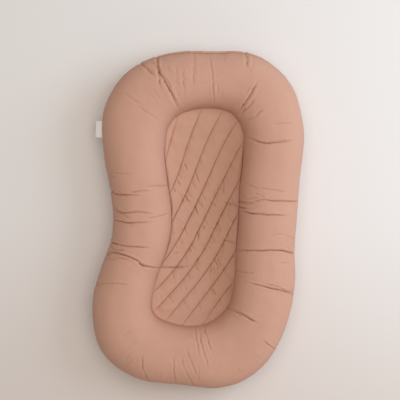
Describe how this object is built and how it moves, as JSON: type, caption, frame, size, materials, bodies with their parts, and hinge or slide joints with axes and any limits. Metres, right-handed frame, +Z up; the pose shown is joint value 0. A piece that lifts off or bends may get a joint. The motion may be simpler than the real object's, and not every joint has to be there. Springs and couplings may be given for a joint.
{
  "type": "infant lounger",
  "caption": "Padded lounger for an infant: a filled roll sewn round a quilted well, with a zipped cotton cover over a separate insert.",
  "frame": {"origin": "on the floor, under the middle of the outline of the padded roll", "axes": "+X to the right seen from above with the head end up, +Y towards the head end, +Z up"},
  "size_m": [0.4491, 0.7391, 0.1221],
  "materials": {
    "cover_cotton": "plain-woven cotton, dusty pink, matt",
    "quilt_cotton": "the same cotton, quilted in slanting channels",
    "base_cotton": "the same cotton, flat underside panels",
    "wadding": "bonded polyester wadding, off-white",
    "lining_cotton": "thin unbleached cotton lining",
    "casing_cotton": "thin unbleached cotton casing",
    "fill_fibre": "loose polyester fibre fill",
    "zip_tape": "woven polyester tape, dyed to match",
    "zip_plastic": "moulded acetal teeth and stops, dyed to match",
    "zip_metal": "die-cast slider and pull, enamelled to match",
    "label_satin": "woven satin ribbon, blank"
  },
  "bodies": {
    "root": {"cover_bolster_top": "cover_cotton", "quilt_face": "quilt_cotton", "quilt_wadding": "wadding", "quilt_lining": "lining_cotton", "cover_base_left": "base_cotton", "cover_base_right": "base_cotton", "insert_casing_top": "casing_cotton", "insert_casing_bottom": "casing_cotton", "insert_fill_ring": "fill_fibre", "insert_sling": "casing_cotton", "zip_teeth_left": "zip_plastic", "zip_teeth_right": "zip_plastic", "zip_tape_left": "zip_tape", "zip_tape_right": "zip_tape", "zip_top_stop_left": "zip_plastic", "zip_top_stop_right": "zip_plastic", "zip_bottom_stop": "zip_plastic", "care_label": "label_satin"},
    "slider": {"zip_slider": "zip_metal"},
    "pull": {"zip_pull": "zip_metal"}
  },
  "joints": [
    {"name": "zip_slide", "type": "slide", "parent": "root", "child": "slider", "axis": [0, -1, 0], "range_m": [0, 0.372], "deforming": ["zip_teeth_left", "zip_teeth_right"]},
    {"name": "pull_swing", "type": "hinge", "parent": "slider", "child": "pull", "pos_m": [0, 0.1885, 0.00835], "axis": [1, 0, 0], "range_deg": [-17, 160]}
  ]
}
